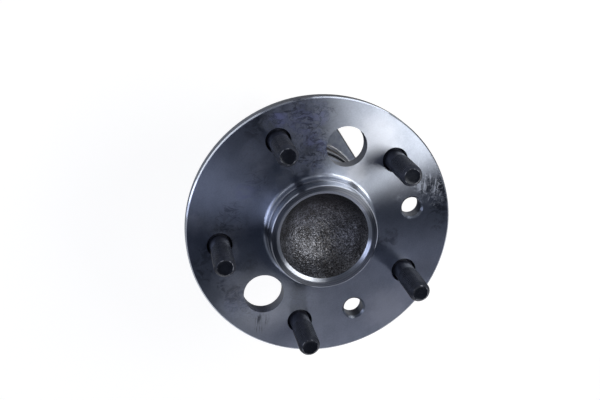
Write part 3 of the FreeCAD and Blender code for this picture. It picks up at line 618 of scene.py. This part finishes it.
phosphate = Finish("black_phosphate", Metallic=0.0, Specular_IOR_Level=0.22,
                   Specular_Tint=(0.78, 0.86, 1.0, 1.0))
crystals = phosphate.grain(0.7, 4.0, 0.65)
handled = phosphate.rise(phosphate.grain(5.0, 3.0, 0.5), 0.35, 0.7)
worn = phosphate.add("Attribute", out=2, attribute_name="worn")
chipped = phosphate.times(worn, phosphate.rise(phosphate.grain(2.6, 4.0, 0.6), 0.47, 0.62))
# The tips' flat ends: glossier, and painted near black as a painted dark reflection
glossy_tip_painted_dark = phosphate.times(phosphate.rise(phosphate.axes()[2], STUD_TIP - 0.5, STUD_TIP - 0.3),
                           phosphate.rise(phosphate.axes(phosphate.facing)[2], 0.8, 0.95))
black = phosphate.mix(handled, (0.014, 0.016, 0.024), (0.026, 0.029, 0.043))
tone = phosphate.layered(black, [
    (glossy_tip_painted_dark, 0.7, (0.004, 0.005, 0.007)),
    (chipped, 1.0, (0.40, 0.42, 0.48)),
])
phosphate.wear(Base_Color=tone, Metallic=phosphate.times(chipped, 0.6),
               Roughness=phosphate.less(phosphate.rise(crystals, 0.3, 0.7, 0.34, 0.46),
                                        phosphate.times(glossy_tip_painted_dark, 0.17)))
phosphate.relief(crystals, 0.02)
shuffle = random.Random(5)
for index in range(STUDS):
    turn = math.radians(STUD_FIRST + 360 / STUDS * index)
    stud = stud_piece("threaded_stud_%d" % (index + 1), turn, shuffle.random(), phosphate)
    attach(stud, "hub")
    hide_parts("wheel_stud_%d" % (index + 1))


# The outer ring: a steel forging with a four-bolt plate that fixes it to the carrier. Its faces,
# spigot and ends are turned and milled bright, while the plate's edges and a band round the body
# keep the brown forged skin. The body's wall, the plate's broken edges and the chamfer at its end
# are painted dark: painted shade and a painted shadow.

# Heights and radii, in millimetres, that tell the ring's surfaces apart
PLATE_TOP = 12.0
PLATE_ROOT = 36.6
BODY_WALL = 35.0
SKIN_SPAN = (13.6, 14.2, 22.8, 23.4)
END_CHAMFER_FOOT = 28.6
END_CHAMFER_TOP = 34.2

casing = Finish("outer_ring_steel", Metallic=1.0, Anisotropic=0.3, Anisotropic_Rotation=0.25,
                Specular_IOR_Level=0.2)
turning_lay(casing)
rings, turned, radius, up = turned_tones(casing, (0.46, 0.48, 0.53), (0.58, 0.60, 0.65), 1.1)
tilt = casing.unsigned(casing.axes(casing.facing)[2])
plate = casing.rise(radius, PLATE_ROOT, PLATE_ROOT + 0.6)
plate_edge = casing.times(casing.rise(tilt, 0.5, 0.3), plate)
plate_top = casing.times(casing.times(plate, casing.rise(up, PLATE_TOP - 0.7, PLATE_TOP - 0.1)),
                         casing.rise(tilt, 0.97, 0.99))
# The plate's broken edges, painted near black: a painted dark reflection
plate_chamfer_painted_shade = casing.times(casing.band(tilt, 0.5, 0.6, 0.8, 0.9), plate)
body = casing.times(casing.rise(radius, BODY_WALL, BODY_WALL + 0.3),
                    casing.rise(up, PLATE_TOP - 1.0, PLATE_TOP + 0.2))
body = casing.times(body, casing.less(1.0, plate))
# The body's wall, under the wheel flange, painted dark: painted shade
body_wall_painted_shade = casing.times(body, casing.rise(tilt, 0.995, 0.95))
skin_band = casing.times(body, casing.band(up, *SKIN_SPAN))
forged = casing.most(plate_edge, casing.times(skin_band, casing.rise(tilt, 0.75, 0.6)))
skin_grain = casing.grain(1.2, 5.0, 0.65)
# The chamfer at the ring's end, by the gap to the spindle's shoulder, painted near black: a painted shadow
end_chamfer_painted_shadow = casing.times(casing.rise(up, END_CHAMFER_FOOT, END_CHAMFER_FOOT + 0.3),
                           casing.rise(radius, END_CHAMFER_TOP, END_CHAMFER_TOP + 0.3))
spigot = casing.rise(up, 0.5, -0.5)
mottle = casing.rise(casing.grain(3.0, 4.0, 0.6), 0.3, 0.7)

tone = casing.layered(turned, [
    (body_wall_painted_shade, 0.85, casing.mix(casing.rise(tilt, 0.9, 0.5), (0.05, 0.053, 0.065), (0.13, 0.135, 0.15))),
    (plate_chamfer_painted_shade, 0.85, (0.03, 0.03, 0.035)),
    (end_chamfer_painted_shadow, 0.95, (0.018, 0.019, 0.023)),
    (plate_top, 0.85, casing.mix(mottle, (0.62, 0.67, 0.80), (0.86, 0.92, 1.0))),
    (spigot, 0.8, (0.14, 0.147, 0.16)),
    (forged, 1.0, casing.mix(skin_grain, (0.022, 0.018, 0.015), (0.06, 0.049, 0.04))),
])
casing.wear(Base_Color=tone, Metallic=casing.rise(forged, 0.0, 1.0, 1.0, 0.2),
            Roughness=casing.sum(casing.rise(rings, 0.3, 0.7, 0.40, 0.30), casing.times(forged, 0.25)))
forged_grain = casing.times(casing.times(skin_grain, forged), 0.9)
casing.relief(casing.sum(casing.times(rings, 0.02), forged_grain), 0.10)
dress(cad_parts["outer_ring"], casing)


# The outboard seal: a case pressed from sheet steel and zinc plated, pushed into the outer ring's
# counterbore, with black rubber lips moulded on it that wipe the spindle.

plated = Finish("zinc_plate", Metallic=1.0)
spangle = plated.grain(2.2, 4.0, 0.6)
dulling = plated.grain(14.0, 3.0, 0.5)
plated.wear(Base_Color=plated.mix(spangle, (0.46, 0.47, 0.46), (0.58, 0.59, 0.57)),
            Roughness=plated.sum(plated.rise(spangle, 0.3, 0.7, 0.30, 0.40), plated.times(dulling, 0.08)))
plated.relief(spangle, 0.01)
dress(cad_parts["seal_case"], plated)

rubber = Finish("seal_rubber", Roughness=0.6)
bloom = rubber.grain(2.5, 4.0, 0.6)
rubber.wear(Base_Color=rubber.mix(bloom, (0.018, 0.018, 0.019), (0.035, 0.035, 0.036)),
            Roughness=rubber.rise(bloom, 0.3, 0.7, 0.5, 0.65))
rubber.relief(rubber.grain(0.4), 0.02)
dress(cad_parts["seal_lips"], rubber)


# The twenty-four balls, in two rows of twelve: through-hardened bearing steel, ground and lapped
# to a mirror, under a thin coat of grease.

lapped = Finish("lapped_balls", Metallic=1.0)
grease = lapped.grain(3.0, 3.0, 0.5)
lapped.wear(Base_Color=lapped.mix(grease, (0.66, 0.67, 0.69), (0.74, 0.75, 0.77)),
            Roughness=lapped.rise(grease, 0.35, 0.7, 0.05, 0.14))
for name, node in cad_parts.items():
    if "_ball_" in name:
        dress(node, lapped)


# The two cages that space the balls: ivory nylon, each moulded in one piece, with pockets into
# which the balls of its row are snapped.

nylon = Finish("ivory_nylon", Subsurface_Weight=0.05, Subsurface_Scale=0.001)
flow = nylon.grain(4.0, 4.0, 0.5)
nylon.wear(Base_Color=nylon.mix(flow, (0.66, 0.60, 0.46), (0.76, 0.71, 0.58)),
           Roughness=nylon.rise(nylon.grain(0.6), 0.3, 0.7, 0.42, 0.55))
nylon.relief(nylon.grain(0.5), 0.02)
for name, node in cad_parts.items():
    if name.endswith("_cage"):
        dress(node, nylon)


# The inner ring of the inboard row: through-hardened bearing steel, ground on its raceway, bore
# and ends, and pressed on the spindle's seat.

ground = Finish("ground_bearing_steel", Metallic=1.0, Anisotropic=0.4, Anisotropic_Rotation=0.25)
rings, turned = turned_tones(ground, (0.55, 0.56, 0.58), (0.63, 0.64, 0.66), 0.4)[:2]
ground.wear(Base_Color=turned, Roughness=ground.rise(rings, 0.3, 0.7, 0.16, 0.24))
ground.relief(rings, 0.0006)
dress(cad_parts["inner_ring"], ground)


# The spindle nut: a hexagon with a washer face, zinc plated, whose collar is staked into the
# slot of the spindle's thread to lock it.

dress(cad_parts["spindle_nut"], plated)


# The dust cap: drawn from sheet steel, zinc plated, and pressed into the inboard end. The draw
# leaves fine lines up its wall, and the plating is dull in clouds.

cap = Finish("drawn_cap", Metallic=1.0)
across, along, up = cap.axes()
draw_lines = cap.clouds(cap.add("CombineXYZ", across, along, cap.times(up, 0.04)), 2.6, 3.0, 0.6)
dull_clouds = cap.grain(11.0, 4.0, 0.5)
cap.wear(Base_Color=cap.mix(cap.rise(draw_lines, 0.35, 0.65), (0.165, 0.168, 0.172), (0.205, 0.208, 0.212)),
         Roughness=cap.sum(cap.rise(draw_lines, 0.3, 0.7, 0.28, 0.36), cap.times(dull_clouds, 0.12)))
cap.relief(cap.sum(cap.times(draw_lines, 0.15), cap.times(dull_clouds, 0.85)), 0.02)
dress(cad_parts["dust_cap"], cap)
